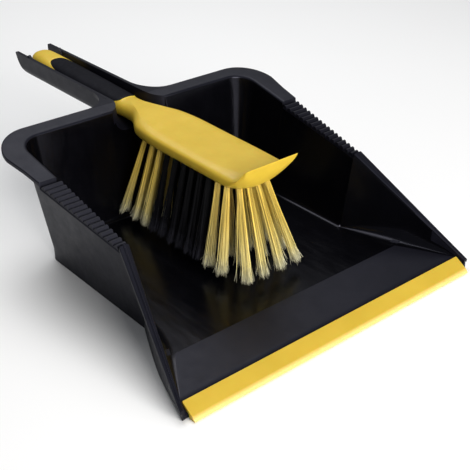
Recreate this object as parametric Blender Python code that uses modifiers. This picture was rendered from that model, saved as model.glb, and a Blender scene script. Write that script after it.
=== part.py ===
"""Dust pan with a hand brush resting in the pan's channel-shaped handle.

Frame: metres, +Z up, origin under the middle of the set, on the ground.
+Y runs from the yellow lip to the handle, +X is to the right.  The pan is
one moulding; its sizes are given from the lip's front edge ("depth" d), and
y = d - LENGTH / 2.
"""
import math

import bmesh
import bpy
from mathutils import Vector

# ---------------------------------------------------------------- sizes ---
LENGTH = 0.430              # lip's front edge to the tips of the handle's rails
GAP = 0.0003                # clearance between pieces that touch
WALL = 0.0024               # the moulding's thickness

RIM_BACK_D = 0.2659         # the rim's outer back edge
RIM_BACK_Z = 0.1079         # its height there
RIM_SLOPE = 0.197           # the rim falls this much per unit towards the lip
RIM_HALF = 0.1354           # its half width at the back corners
RIM_CORNER_R = 0.0315       # outer corner of the rim, in plan
SKIRT = 0.0034              # downturned edge of the rim
EDGE_ROUND = 0.0010         # its outer edge
TOP_ROUND = 0.0022          # rounding from the wall onto the rim
TOP_HALF = 0.1155           # inner half width at the rim, at the back
TOP_CORNER_R = 0.017        # inner corner of the rim, in plan
TOP_BACK_D = 0.2525         # the back wall's inner face at the rim
FLOOR_HALF = 0.1017         # half width of the floor
FLOOR_BACK_D = 0.2397       # the floor's back edge
FLOOR_CORNER_R = 0.008
FLOOR_Z = 0.0110            # its top: the walls run on below it as a foot
FLOOR_FILLET = 0.0030       # floor to wall
WING_FILLET = 0.013         # the same where the wings spread
SIDE_END_D = 0.2155         # the straight sides end here, before the corners
FOOT_MIN = 0.0006           # least height of the foot, where it fades out

WING_D = 0.107              # the side walls turn outwards in front of this
WING_TOP_HALF = 0.1128      # inner half width at the rim there
WING_TOP_WIDTH = 0.0084     # width of the wing's top band there
TIP_D = 0.0066              # front tips of the side walls
TIP_HALF = 0.1434           # inner half width at the tips
TIP_WIDTH = 0.0034
TIP_Z = 0.0079
TIP_FILLET = 0.0006         # floor to wall at the very tip
BASE_CURVE = 1.25           # how early the floor widens towards the tips
STEP = 0.0008               # the rim steps down to the comb over this depth

TEETH_D0 = 0.1086           # comb on the side rims: front end
TEETH_D1 = 0.1952           # and back end
TEETH = 16
TOOTH_HEIGHT = 0.0030
TEETH_DROP = 0.0042         # the rim is lower by this under the comb
COMB_HALF_IN = 0.1133       # inner edge of the comb
COMB_HALF_OUT0 = 0.1212     # outer edge at the front
COMB_HALF_OUT1 = 0.1301     # and at the back
COMB_SINK = 0.0012          # the comb is sunk into the rim by this
COMB_LIFT = 0.0002          # the gaps between its teeth stand above the rim

CREASE_D = 0.056            # the floor bends down into the ramp here
RAMP_D = 0.0155             # foot of the ramp
RAMP_Z = 0.0088
TONGUE_D = 0.0070           # front edge of the tongue that carries the lip
TONGUE_Z = 0.0030

LIP_HALF = 0.14025
LIP_BACK_D = 0.0146
LIP_THICK = 0.0019

CHANNEL_HALF = 0.0192       # the handle's channel, outside
CHANNEL_TOP = RIM_BACK_Z
CHANNEL_BOTTOM = 0.0860
CHANNEL_WALL = 0.0025
CHANNEL_CORNER_R = 0.0105   # its lower corners
CHANNEL_DRAFT = 0.0013      # its sides lean in by this
CHANNEL_MOUTH_R = 0.0110    # its sides and floor flare into the back wall
CHANNEL_FLOOR_D = 0.408     # its floor ends here, its rails at LENGTH
GUSSET = 0.022              # plan fillet from the rails to the rim, across
GUSSET_LENGTH = 0.031       # and along the rails
LUG_D = 0.406               # small lug inside the end of each rail
LUG_HALF = 0.0040           # half its length
LUG_WIDTH = 0.0026
LUG_RISE = 0.0018           # it stands above the rail by this
LUG_DEPTH = 0.010           # and reaches down inside it
MARGIN = 0.010              # cutters reach past what they cut by this

HEAD_FRONT_D = 0.114        # front end of the head's flat underside
HEAD_BACK_D = 0.237         # its back end
HEAD_HALF = 0.0270
HEAD_BOTTOM = 0.0856
HANDLE_END_D = 0.4215
DOME = 0.0125               # length of the handle's round end
DOME_HALF = 0.0118
DOME_RISE = 0.0092
GRIP_D0 = 0.288             # soft sleeve on the handle
GRIP_D1 = 0.386
GRIP_REACH = 0.015          # its front end reaches forwards on top of the handle
SLEEVE = 0.0020             # its thickness
HANDLE_HALF = 0.0135        # half width over the sleeve
HANDLE_Z = 0.0978           # middle of the handle at the sleeve's front end
HANDLE_SLOPE = 0.028        # the handle rises to its end
HANDLE_RISE = 0.0083        # half height over the sleeve

TUFT_ROWS = 12
TUFT_COLUMNS = 4
TUFT_D0 = 0.106             # first and last row
TUFT_D1 = 0.222
TUFT_PITCH_X = 0.0105
TUFT_TIP_Z = 0.0205
TUFT_R_TOP = 0.0019
TUFT_R_MID = 0.0023
TUFT_R_TIP = 0.0034
TUFT_R_END = 0.0026
FRONT_ROW_PINCH = 0.82      # the front row is narrower, with the head's corners
TUFT_FAN_X = 2.0            # how far the tips spread across
LEAN_FRONT = 0.024          # the first row's tips lean forwards by this
LEAN_BACK = 0.015           # and the last row's backwards
LEAN_FADE = 0.016           # the lean dies away over this depth
YELLOW_ROWS = 3             # yellow rows at each end, black ones between

YELLOW = (0.76, 0.52, 0.06)
SOFT_YELLOW = (0.74, 0.50, 0.09)
BRISTLE_YELLOW = (0.70, 0.50, 0.12)
BLACK = (0.018, 0.019, 0.024)
SOFT_BLACK = (0.020, 0.021, 0.027)
BRISTLE_BLACK = (0.010, 0.010, 0.013)


# -------------------------------------------------------------- helpers ---
def at(x, d, z):
    """A point from its side, its depth behind the lip's edge, and its height."""
    return Vector((x, d - LENGTH / 2, z))


def mix(a, b, t):
    return a + (b - a) * t


def rim_z(d):
    """Height of the rim's sloping top."""
    return RIM_BACK_Z + RIM_SLOPE * (d - RIM_BACK_D)


def collection(name):
    made = bpy.data.collections.new(name)
    bpy.context.scene.collection.children.link(made)
    return made


def material(name, colour, roughness):
    made = bpy.data.materials.new(name)
    made.use_nodes = True
    shader = made.node_tree.nodes["Principled BSDF"]
    shader.inputs["Base Color"].default_value = (*colour, 1.0)
    shader.inputs["Roughness"].default_value = roughness
    shader.inputs["Metallic"].default_value = 0.0
    made.diffuse_color = (*colour, 1.0)
    return made


def mesh_object(name, bm, group, surface=None, smooth=40.0):
    mesh = bpy.data.meshes.new(name)
    bm.to_mesh(mesh)
    bm.free()
    mesh.shade_smooth()
    mesh.set_sharp_from_angle(angle=math.radians(smooth))
    made = bpy.data.objects.new(name, mesh)
    group.objects.link(made)
    if surface:
        mesh.materials.append(surface)
    return made


def outline_solid(name, points, depth, group):
    """A flat outline, pushed along the vector depth into a solid."""
    bm = bmesh.new()
    face = bm.faces.new([bm.verts.new(p) for p in points])
    pushed = bmesh.ops.extrude_face_region(bm, geom=[face])["geom"]
    verts = [v for v in pushed if isinstance(v, bmesh.types.BMVert)]
    bmesh.ops.translate(bm, verts=verts, vec=depth)
    bmesh.ops.recalc_face_normals(bm, faces=bm.faces)
    return mesh_object(name, bm, group)


def ring_loft(name, rings, group, surface=None):
    """A closed solid through rings of points, with flat ends."""
    bm = bmesh.new()
    rows = [[bm.verts.new(p) for p in ring] for ring in rings]
    count = len(rows[0])
    for low, high in zip(rows, rows[1:]):
        for i in range(count):
            j = (i + 1) % count
            bm.faces.new((low[i], low[j], high[j], high[i]))
    bm.faces.new(rows[0])
    bm.faces.new(rows[-1])
    bmesh.ops.recalc_face_normals(bm, faces=bm.faces)
    return mesh_object(name, bm, group, surface)


def mark_cutter(cutter):
    cutter.hide_render = True
    cutter.display_type = "WIRE"


def boolean(target, tool, operation):
    made = target.modifiers.new(operation.lower(), "BOOLEAN")
    made.operation = operation
    made.solver = "EXACT"
    made.object = tool
    mark_cutter(tool)


# ------------------------------------------------------------ pan: tub ---
def bend(a, corner, b, steps):
    """Points on the round from a to b whose sides meet at corner."""
    points = []
    for i in range(steps + 1):
        t = i / steps
        points.append(a * (1 - t) ** 2 + corner * 2 * t * (1 - t) + b * t ** 2)
    return points


def wall_section(base, top, edge, skirt, fillet, foot_z=0.0):
    """Two rows of points, the shell's inner and outer side.

    The inner row runs from the floor, up the wall, over the rim and down its
    skirt; the outer row comes back under it and down the foot to foot_z.
    """
    down = Vector((0, 0, -1))
    outwards = (edge - top) * Vector((1, 1, 0))
    width = outwards.length
    outwards.normalize()
    rise = top - base
    up = rise.normalized()
    across = (edge - top).normalized()
    radius = min(fillet, 0.4 * rise.length)
    rounding = min(TOP_ROUND, 0.3 * rise.length)
    inner = bend(base - outwards * radius, base, base + up * radius, 3)
    inner += bend(top - up * rounding, top, top + across * rounding, 2)
    inner += [edge - across * EDGE_ROUND, edge + down * EDGE_ROUND, edge + down * skirt]
    under = base - outwards * radius + down * WALL
    foot_in = base + down * WALL
    foot_out = base + outwards * WALL
    low = Vector((0, 0, foot_z))
    flat = Vector((1, 1, 0))
    outer = [under, foot_in, foot_in * flat + low, foot_out * flat + low,
             foot_out * flat + Vector((0, 0, max(base.z - EDGE_ROUND, foot_z + FOOT_MIN)))]
    skirt_wall = min(WALL, 0.4 * width)
    outer += [top + outwards * min(WALL, 0.5 * width) + down * WALL,
              edge - outwards * skirt_wall + down * WALL,
              edge - outwards * skirt_wall + down * skirt]
    return inner, outer


def floor_z(d):
    """The top of the floor, the ramp and the tongue along the middle."""
    if d >= CREASE_D:
        return FLOOR_Z
    if d >= RAMP_D:
        return mix(FLOOR_Z, RAMP_Z, (CREASE_D - d) / (CREASE_D - RAMP_D))
    return mix(TONGUE_Z, RAMP_Z, (d - TONGUE_D) / (RAMP_D - TONGUE_D))


def wing_section(d):
    """A side wall in front of the turn, where it spreads and gets lower."""
    t = (WING_D - d) / (WING_D - TIP_D)
    inner = mix(WING_TOP_HALF, TIP_HALF, t)
    top_z = mix(rim_z(WING_D), TIP_Z, t)
    base_half = mix(FLOOR_HALF, TIP_HALF - 0.0004, 1 - (1 - t) ** BASE_CURVE)
    width = mix(WING_TOP_WIDTH, TIP_WIDTH, t)
    low = min(floor_z(max(d, TONGUE_D)), top_z - 0.0030)
    skirt = min(0.0036, 0.5 * (top_z - low))
    spread = max(0.0, math.sin(math.pi * min(1.0, t * 1.09)))
    fillet = mix(TIP_FILLET, WING_FILLET, spread)
    lifted = low - WALL - GAP
    foot_z = mix(0.0, lifted, max(0.0, (CREASE_D - d) / (CREASE_D - TONGUE_D)))
    return wall_section(at(base_half, d, low), at(inner, d, top_z),
                        at(inner + width, d, top_z), skirt, fillet, foot_z)


def comb_half_out(d):
    t = (d - TEETH_D0) / (TEETH_D1 - TEETH_D0)
    return mix(COMB_HALF_OUT0, COMB_HALF_OUT1, t)


def side_section(d, drop):
    """A side wall between the wing and the corner."""
    t = (d - WING_D) / (TOP_BACK_D - TOP_CORNER_R - WING_D)
    inner = mix(WING_TOP_HALF, TOP_HALF, t)
    z = rim_z(d) - drop
    return wall_section(at(FLOOR_HALF, d, FLOOR_Z), at(inner, d, z),
                        at(comb_half_out(d), d, z), SKIRT - drop * 0.4, FLOOR_FILLET)


def corner_section(angle):
    """Round the back corner: floor, inner rim and outer rim turn together."""
    def turn(half, back, radius):
        x = half - radius + radius * math.cos(angle)
        return x, back - radius + radius * math.sin(angle)
    base = turn(FLOOR_HALF, FLOOR_BACK_D, FLOOR_CORNER_R)
    top = turn(TOP_HALF, TOP_BACK_D, TOP_CORNER_R)
    edge = turn(RIM_HALF, RIM_BACK_D, RIM_CORNER_R)
    return wall_section(at(*base, FLOOR_Z), at(*top, rim_z(top[1])),
                        at(*edge, rim_z(edge[1])), SKIRT, FLOOR_FILLET)


def back_section(x):
    return wall_section(at(x, FLOOR_BACK_D, FLOOR_Z), at(x, TOP_BACK_D, rim_z(TOP_BACK_D)),
                        at(x, RIM_BACK_D, RIM_BACK_Z), SKIRT, FLOOR_FILLET)


def tub_sections():
    """Sections of the right half, from the front tip to the middle of the back."""
    ramp = [wing_section(d) for d in (TONGUE_D, RAMP_D, 0.030, 0.048, CREASE_D)]
    rest = [wing_section(0.086), wing_section(WING_D)]
    rest += [side_section(WING_D + STEP, TEETH_DROP),
             side_section(TEETH_D1 + STEP, TEETH_DROP),
             side_section(TEETH_D1 + 2 * STEP, 0.0), side_section(SIDE_END_D, 0.0)]
    rest += [corner_section(math.radians(a)) for a in range(0, 91, 15)]
    return ramp, rest + [back_section(0.0)]


def half_tub():
    """The right half of the tub, open along the middle, where Mirror closes it."""
    ramp, rest = tub_sections()
    bm = bmesh.new()
    rows = []
    for inner, outer in ramp + rest:
        rows.append([bm.verts.new(p) for p in inner + outer[::-1]])
    for low, high in zip(rows, rows[1:]):
        for i in range(len(low) - 1):
            bm.faces.new((low[i], high[i], high[i + 1], low[i + 1]))
    bm.faces.new(rows[0])
    for side in (0, -1):
        near = [row[side] for row in rows]
        middle = [bm.verts.new(Vector((0, v.co.y, v.co.z))) for v in near[:len(ramp)]]
        for i in range(len(ramp) - 1):
            bm.faces.new((middle[i], middle[i + 1], near[i + 1], near[i]))
        bm.faces.new([middle[-1]] + near[len(ramp) - 1:][::-1])
        if side == 0:
            top_front = middle[0]
    bm.faces.new((top_front, rows[0][0], rows[0][-1], middle[0]))
    bmesh.ops.recalc_face_normals(bm, faces=bm.faces)
    return bm


def make_tub(group, surface):
    tub = mesh_object("pan_body", half_tub(), group, surface)
    mirror = tub.modifiers.new("mirror", "MIRROR")
    mirror.merge_threshold = 0.0001
    return tub


# ------------------------------------------------- pan: comb and handle ---
def comb_outline():
    """One side's comb seen from the side: teeth above, sunk into the rim below."""
    pitch = (TEETH_D1 - TEETH_D0) / TEETH
    under = TEETH_DROP + COMB_SINK
    points = [(TEETH_D1, rim_z(TEETH_D1) - under), (TEETH_D0, rim_z(TEETH_D0) - under)]
    for i in range(TEETH):
        d = TEETH_D0 + i * pitch
        foot = rim_z(d) - TEETH_DROP + COMB_LIFT
        points += [(d, foot), (d + 0.28 * pitch, foot + TOOTH_HEIGHT),
                   (d + 0.62 * pitch, foot + TOOTH_HEIGHT)]
    points.append((TEETH_D1, rim_z(TEETH_D1) - TEETH_DROP + COMB_LIFT))
    return points


def make_comb(side, group):
    """The comb follows the rim's narrowing width."""
    inner, outer = [], []
    for d, z in comb_outline():
        inner.append(at(side * COMB_HALF_IN, d, z))
        outer.append(at(side * (comb_half_out(d) - 0.0004), d, z))
    bm = bmesh.new()
    near = [bm.verts.new(p) for p in inner]
    far = [bm.verts.new(p) for p in outer]
    bm.faces.new(near)
    bm.faces.new(far)
    for i in range(len(near)):
        j = (i + 1) % len(near)
        bm.faces.new((near[i], near[j], far[j], far[i]))
    bmesh.ops.recalc_face_normals(bm, faces=bm.faces)
    return mesh_object(f"comb_{'right' if side > 0 else 'left'}", bm, group)


def channel_profile(inset, top):
    """The handle's U-shaped section as (x, z) points, all the way round."""
    half = CHANNEL_HALF - inset
    low = CHANNEL_BOTTOM + inset
    radius = CHANNEL_CORNER_R
    points = [(0.0, low)]
    for i in range(5):
        a = math.radians(-90 + 80 * i / 4)
        x = half - CHANNEL_DRAFT - radius + radius * math.cos(a)
        points.append((x, low + radius + radius * math.sin(a)))
    points.append((half, top))
    return points + [(-x, z) for x, z in reversed(points[1:])]


def mouth_flare(steps=5):
    """(depth, widening) pairs of the quarter round from the back wall into the channel."""
    pairs = []
    for i in range(steps + 1):
        a = math.radians(90 * i / steps)
        pairs.append((CHANNEL_MOUTH_R * (1 - math.cos(a)), CHANNEL_MOUTH_R * (1 - math.sin(a))))
    return pairs


def wall_in_d(z):
    """Depth of the back wall's inner face, which leans back towards the rim."""
    t = (min(z, RIM_BACK_Z) - FLOOR_Z) / (RIM_BACK_Z - FLOOR_Z)
    return mix(FLOOR_BACK_D, TOP_BACK_D, t)


def make_channel(group):
    """The channel as a solid block; its inside and its ends are cut afterwards."""
    rings = []
    for back, flare in mouth_flare():
        top = min(CHANNEL_TOP, rim_z(TOP_BACK_D + WALL / 2 + back)) - 0.0001
        rings.append([at(x, wall_in_d(z) + WALL / 2 + back, z)
                      for x, z in channel_profile(-flare, top)])
    for d in (RIM_BACK_D + STEP, LENGTH):
        rings.append([at(x, d, z) for x, z in channel_profile(0.0, CHANNEL_TOP)])
    return ring_loft("channel_block", rings, group)


def make_end_cutter(group):
    """What lies beyond the quarter round at the rails' ends."""
    low = CHANNEL_BOTTOM - MARGIN
    side = -CHANNEL_HALF - MARGIN
    points = [at(side, LENGTH + MARGIN, CHANNEL_TOP), at(side, LENGTH + MARGIN, low),
              at(side, CHANNEL_FLOOR_D, low)]
    steps = 8
    for i in range(steps + 1):
        a = math.radians(90 * i / steps)
        d = mix(CHANNEL_FLOOR_D, LENGTH, math.sin(a))
        points.append(at(side, d, mix(CHANNEL_TOP, CHANNEL_BOTTOM, math.cos(a))))
    return outline_solid("end_cutter", points, Vector((-2 * side, 0, 0)), group)


def make_channel_cutter(group):
    """The channel's inside, from the pan's hollow out past the rails' ends."""
    above = CHANNEL_TOP + MARGIN
    widest = channel_profile(CHANNEL_WALL - CHANNEL_MOUTH_R, above)
    rings = [[at(x, wall_in_d(z) - MARGIN, z) for x, z in widest]]
    for back, flare in mouth_flare():
        rings.append([at(x, wall_in_d(z) + back, z)
                      for x, z in channel_profile(CHANNEL_WALL - flare, above)])
    rings.append([at(x, LENGTH + MARGIN, z) for x, z in channel_profile(CHANNEL_WALL, above)])
    return ring_loft("channel_cutter", rings, group)


def make_gusset(side, group):
    """The rim runs into the rail in a plan fillet."""
    x0 = CHANNEL_HALF - 0.0008
    d0 = RIM_BACK_D - 0.0012
    points = [at(side * x0, d0, CHANNEL_TOP - SKIRT),
              at(side * (CHANNEL_HALF + GUSSET), d0, CHANNEL_TOP - SKIRT)]
    for i in range(7):
        a = math.radians(90 * i / 6)
        x = CHANNEL_HALF + GUSSET * (1 - math.sin(a))
        d = RIM_BACK_D + GUSSET_LENGTH * (1 - math.cos(a))
        points.append(at(side * x, d, CHANNEL_TOP - SKIRT))
    points.append(at(side * x0, RIM_BACK_D + GUSSET_LENGTH, CHANNEL_TOP - SKIRT))
    name = f"gusset_{'right' if side > 0 else 'left'}"
    return outline_solid(name, points, Vector((0, 0, SKIRT - 0.0001)), group)


def make_lug(side, group):
    """A small triangular lug that stands above the rail's top."""
    x = side * (CHANNEL_HALF - CHANNEL_WALL - LUG_WIDTH * 0.65)
    front, back = LUG_D - LUG_HALF, LUG_D + LUG_HALF
    low = CHANNEL_TOP - LUG_DEPTH
    points = [at(x, front, low), at(x, back, low), at(x, back, CHANNEL_TOP + 0.2 * LUG_RISE),
              at(x, mix(front, back, 0.8), CHANNEL_TOP + LUG_RISE),
              at(x, front, CHANNEL_TOP - LUG_RISE)]
    name = f"lug_{'right' if side > 0 else 'left'}"
    return outline_solid(name, points, Vector((side * LUG_WIDTH, 0, 0)), group)


def make_pan(group, cutters, surface):
    pan = make_tub(group, surface)
    boolean(pan, make_channel(cutters), "UNION")
    for side in (-1, 1):
        boolean(pan, make_gusset(side, cutters), "UNION")
    boolean(pan, make_channel_cutter(cutters), "DIFFERENCE")
    boolean(pan, make_end_cutter(cutters), "DIFFERENCE")
    for side in (-1, 1):
        boolean(pan, make_comb(side, cutters), "UNION")
        boolean(pan, make_lug(side, cutters), "UNION")
    return pan


# --------------------------------------------------------------- the lip ---
def make_lip(group, surface):
    """Soft strip that lies on the tongue and reaches the ground in front."""
    slope = math.atan2(RAMP_Z - TONGUE_Z, RAMP_D - TONGUE_D)
    up = Vector((0, -math.sin(slope), math.cos(slope)))
    back = at(0, LIP_BACK_D, floor_z(LIP_BACK_D))
    front = at(0, TONGUE_D - 0.0006, floor_z(TONGUE_D - 0.0006))
    outline = [back + up * GAP, back + up * (GAP + LIP_THICK),
               mix(back, front, 0.5) + up * (GAP + LIP_THICK + 0.0004),
               at(0, 0.0016, 0.0029), at(0, 0.0004, 0.0017), at(0, 0.0, 0.0008),
               at(0, 0.0006, 0.0), at(0, 0.0046, 0.0),
               front + Vector((0, -GAP, -0.0022)), front + up * GAP]
    for point in outline:
        point.x = -LIP_HALF
    lip = outline_solid("lip_strip", outline, Vector((2 * LIP_HALF, 0, 0)), group)
    lip.data.materials.append(surface)
    return lip


# ------------------------------------------------------------- the brush ---
def power(value, exponent):
    return math.copysign(abs(value) ** exponent, value)


def brush_ring(top, bottom, half, square_top=2.0, square_bottom=2.0, sides=20):
    """An oval section between two (depth, z) points; it leans when their depths differ."""
    ring = []
    for i in range(sides):
        a = 2 * math.pi * (i + 0.5) / sides
        square = square_top if math.sin(a) > 0 else square_bottom
        x = half * power(math.cos(a), 2 / square)
        t = 0.5 + 0.5 * power(math.sin(a), 2 / square)
        ring.append(at(x, mix(bottom[0], top[0], t), mix(bottom[1], top[1], t)))
    return ring


def handle_ring(d, half, rise, lean=0.0):
    z = HANDLE_Z + HANDLE_SLOPE * (d - GRIP_D0)
    return brush_ring((d - lean, z + rise), (d, z - rise), half, 2.3, 2.3)


def nose_rings():
    """The upturned front of the head: below the lip it swells back to the tufts."""
    return [brush_ring((0.0828, 0.1126), (0.0833, 0.1114), 0.0240, 7.0, 2.0),
            brush_ring((0.0843, 0.1121), (0.0872, 0.1036), 0.0250, 7.0, 2.0),
            brush_ring((0.0870, 0.1092), (0.0938, 0.0924), 0.0257, 5.5, 2.2),
            brush_ring((0.0905, 0.1058), (0.0990, 0.0874), 0.0262, 4.0, 2.6),
            brush_ring((0.0960, 0.1030), (0.1040, HEAD_BOTTOM), 0.0267, 3.6, 3.6),
            brush_ring((0.1100, 0.1018), (HEAD_FRONT_D, HEAD_BOTTOM), HEAD_HALF, 3.6, 4.5)]


def head_rings():
    rings = []
    for d, half, top, bottom in ((0.150, HEAD_HALF, 0.1020, HEAD_BOTTOM),
                                 (0.198, HEAD_HALF, 0.1030, HEAD_BOTTOM),
                                 (0.213, 0.0258, 0.1038, HEAD_BOTTOM),
                                 (0.222, 0.0246, 0.1043, HEAD_BOTTOM),
                                 (0.228, 0.0226, 0.1047, 0.0860),
                                 (HEAD_BACK_D, 0.0174, 0.1052, 0.0872),
                                 (0.244, 0.0138, 0.1055, 0.0886),
                                 (0.251, 0.0120, 0.1057, 0.0893)):
        rings.append(brush_ring((d, top), (d, bottom), half, 3.6, 4.5))
    return rings


def neck_rings():
    core = SLEEVE + GAP
    rings = [handle_ring(0.261, 0.0114, 0.0080), handle_ring(0.274, 0.0118, 0.0080, 0.5 * GRIP_REACH),
             handle_ring(GRIP_D0 - GAP, 0.0128, 0.0080, GRIP_REACH),
             handle_ring(GRIP_D0, HANDLE_HALF - core, HANDLE_RISE - core, GRIP_REACH)]
    rings += [handle_ring(GRIP_D1, HANDLE_HALF - core, HANDLE_RISE - core),
              handle_ring(GRIP_D1 + GAP, 0.0127, 0.0083)]
    for i in range(6):
        a = math.radians(88 * i / 5)
        rings.append(handle_ring(HANDLE_END_D - DOME * (1 - math.sin(a)),
                                 DOME_HALF * math.cos(a), DOME_RISE * math.cos(a)))
    return rings


def make_brush_body(group, surface):
    return ring_loft("brush_body", nose_rings() + head_rings() + neck_rings(), group, surface)


def make_grip(group, surface):
    """A closed sleeve: out along the outside and back along the inside."""
    d0, d1 = GRIP_D0 + GAP, GRIP_D1 - GAP
    bore = (HANDLE_HALF - SLEEVE, HANDLE_RISE - SLEEVE)
    outside = [handle_ring(mix(d0, d1, t), HANDLE_HALF, HANDLE_RISE, (1 - t) * GRIP_REACH)
               for t in (0.0, 0.5, 1.0)]
    inside = [handle_ring(mix(d0, d1, t), *bore, (1 - t) * GRIP_REACH) for t in (1.0, 0.5, 0.0)]
    rings = outside + inside
    bm = bmesh.new()
    rows = [[bm.verts.new(p) for p in ring] for ring in rings]
    count = len(rows[0])
    for k, low in enumerate(rows):
        high = rows[(k + 1) % len(rows)]
        for i in range(count):
            j = (i + 1) % count
            bm.faces.new((low[i], low[j], high[j], high[i]))
    bmesh.ops.recalc_face_normals(bm, faces=bm.faces)
    return mesh_object("grip_sleeve", bm, group, surface)


def make_tuft(row, column, group, surface):
    """A bundle of bristles: narrow where it is held, spread at its tips."""
    d = mix(TUFT_D0, TUFT_D1, row / (TUFT_ROWS - 1))
    x = (column - (TUFT_COLUMNS - 1) / 2) * TUFT_PITCH_X
    if row == 0:
        x *= FRONT_ROW_PINCH
    top = at(x, d, HEAD_BOTTOM - GAP)
    lean = LEAN_BACK * math.exp((d - TUFT_D1) / LEAN_FADE)
    lean -= LEAN_FRONT * math.exp((TUFT_D0 - d) / LEAN_FADE)
    tip = at(x * TUFT_FAN_X, d + lean, TUFT_TIP_Z)
    rings = []
    for t, radius in ((0.0, TUFT_R_TOP), (0.5, TUFT_R_MID), (0.93, TUFT_R_TIP), (1.0, TUFT_R_END)):
        centre = mix(top, tip, t)
        ring = []
        for i in range(8):
            a = 2 * math.pi * i / 8
            ring.append(centre + Vector((radius * math.cos(a), radius * math.sin(a), 0)))
        rings.append(ring)
    return ring_loft(f"tuft_{row + 1:02d}_{column + 1}", rings, group, surface)


def make_tufts(group, yellow, black):
    tufts = []
    for row in range(TUFT_ROWS):
        at_end = row < YELLOW_ROWS or row >= TUFT_ROWS - YELLOW_ROWS
        for column in range(TUFT_COLUMNS):
            tufts.append(make_tuft(row, column, group, yellow if at_end else black))
    return tufts


# ----------------------------------------------------------------- build ---
def main():
    for old in list(bpy.data.objects):
        bpy.data.objects.remove(old, do_unlink=True)
    parts = collection("dust_pan_and_brush")
    cutters = collection("cutters")
    make_pan(parts, cutters, material("pan_black", BLACK, 0.35))
    make_lip(parts, material("lip_yellow", SOFT_YELLOW, 0.45))
    brush = bpy.data.objects.new("brush_origin", None)
    parts.objects.link(brush)
    pieces = [make_brush_body(parts, material("brush_yellow", YELLOW, 0.38)),
              make_grip(parts, material("grip_black", SOFT_BLACK, 0.6))]
    pieces += make_tufts(parts, material("bristle_yellow", BRISTLE_YELLOW, 0.5),
                         material("bristle_black", BRISTLE_BLACK, 0.5))
    for piece in pieces:
        piece.parent = brush


main()
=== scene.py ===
"""Looks of a dust pan with a hand brush resting in the pan's channel-shaped handle.

Every visible piece is rebuilt finely over its solid of the frame: the pan's
shell, its soft lip, the brush's moulding, the sleeve on its handle and each
tuft as a bundle of filaments.  Metres, +Z up, +Y from the lip to the handle.
"""

import math
import random

import bmesh
import bpy
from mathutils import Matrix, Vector


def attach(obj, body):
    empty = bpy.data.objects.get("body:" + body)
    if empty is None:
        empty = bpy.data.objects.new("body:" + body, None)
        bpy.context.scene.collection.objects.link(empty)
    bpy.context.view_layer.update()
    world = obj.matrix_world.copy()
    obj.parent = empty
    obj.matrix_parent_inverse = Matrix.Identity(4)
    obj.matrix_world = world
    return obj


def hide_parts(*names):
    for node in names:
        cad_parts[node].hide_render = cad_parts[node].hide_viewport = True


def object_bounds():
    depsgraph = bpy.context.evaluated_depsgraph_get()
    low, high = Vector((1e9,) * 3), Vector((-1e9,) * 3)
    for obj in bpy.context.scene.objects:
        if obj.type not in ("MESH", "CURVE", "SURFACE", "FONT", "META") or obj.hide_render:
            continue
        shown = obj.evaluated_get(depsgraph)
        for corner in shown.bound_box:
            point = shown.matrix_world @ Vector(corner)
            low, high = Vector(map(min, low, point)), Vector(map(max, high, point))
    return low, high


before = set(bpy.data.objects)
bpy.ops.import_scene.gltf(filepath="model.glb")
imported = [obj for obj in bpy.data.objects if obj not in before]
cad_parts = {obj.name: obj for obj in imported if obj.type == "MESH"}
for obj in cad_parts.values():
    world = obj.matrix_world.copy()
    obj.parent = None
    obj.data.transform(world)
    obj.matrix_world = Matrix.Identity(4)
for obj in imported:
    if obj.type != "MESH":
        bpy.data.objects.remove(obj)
cad_box = [list(corner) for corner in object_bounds()]

# ---------------------------------------------------------- driving sizes ---
LENGTH = cad_box[1][1] - cad_box[0][1]      # lip's front edge to the rails' tips
GAP = 0.0003
WALL = 0.0024
HAIR = 0.0001               # keeps surfaces apart that would lie in one plane
MERGE = 0.0001              # points closer than this become one
CHAMFER = 0.0003            # along the skirt's lower edges

RIM_BACK_D = 0.2659         # depths count from the lip's front edge
RIM_BACK_Z = 0.1079
RIM_SLOPE = 0.197
RIM_HALF = 0.1354
RIM_CORNER_R = 0.0315
RIM_ROUND = 0.0024          # from the wall onto the rim
RIM_EDGE_R = 0.0011         # from the rim down its skirt
SKIRT = 0.0034
TOP_HALF = 0.1155
TOP_CORNER_R = 0.017
TOP_BACK_D = 0.2525
SIDE_BACK_D = 0.2155        # the sides are straight up to here
BACK_X = 0.050              # a section of the back wall beside the channel
FLOOR_HALF = 0.1017
FLOOR_BACK_D = 0.2397
FLOOR_CORNER_R = 0.008
FLOOR_Z = 0.0110
FLOOR_FILLET = 0.0042
LEAST_FILLET = 0.0006
WING_FILLET = 0.013
FOOT_DROP = 0.0010          # the foot's outside starts this far below the floor
FOOT_LEAST = 0.0006

WING_D = 0.107
WING_TOP_HALF = 0.1128
WING_TOP_WIDTH = 0.0084
TIP_D = 0.0066
TIP_HALF = 0.1434
TIP_WIDTH = 0.0034
TIP_Z = 0.0079
TIP_INSET = 0.0004
WING_BULGE = 1.25
WING_LEAST_RISE = 0.0030
WING_SKIRT = 0.0036
BEAD = 0.0006               # fine raised line along the wing's rim
BEAD_PROFILE = ((0.40, 0.0), (0.45, 1.0), (0.57, 1.0), (0.62, 0.0))

TEETH_D0 = 0.1086
TEETH_D1 = 0.1952
TEETH = 16
TOOTH_HEIGHT = 0.0030
TOOTH_RISE = 0.28           # shares of the pitch where a tooth's top begins and ends
TOOTH_FALL = 0.62
TEETH_DROP = 0.0042
TEETH_FOOT = 0.0002
COMB_SUNK = 0.0012
COMB_INSET = 0.0004
LEDGE = 0.0008              # length of the step at each end of the comb
COMB_HALF_IN = 0.1133
COMB_HALF_OUT0 = 0.1212
COMB_HALF_OUT1 = 0.1301

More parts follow.
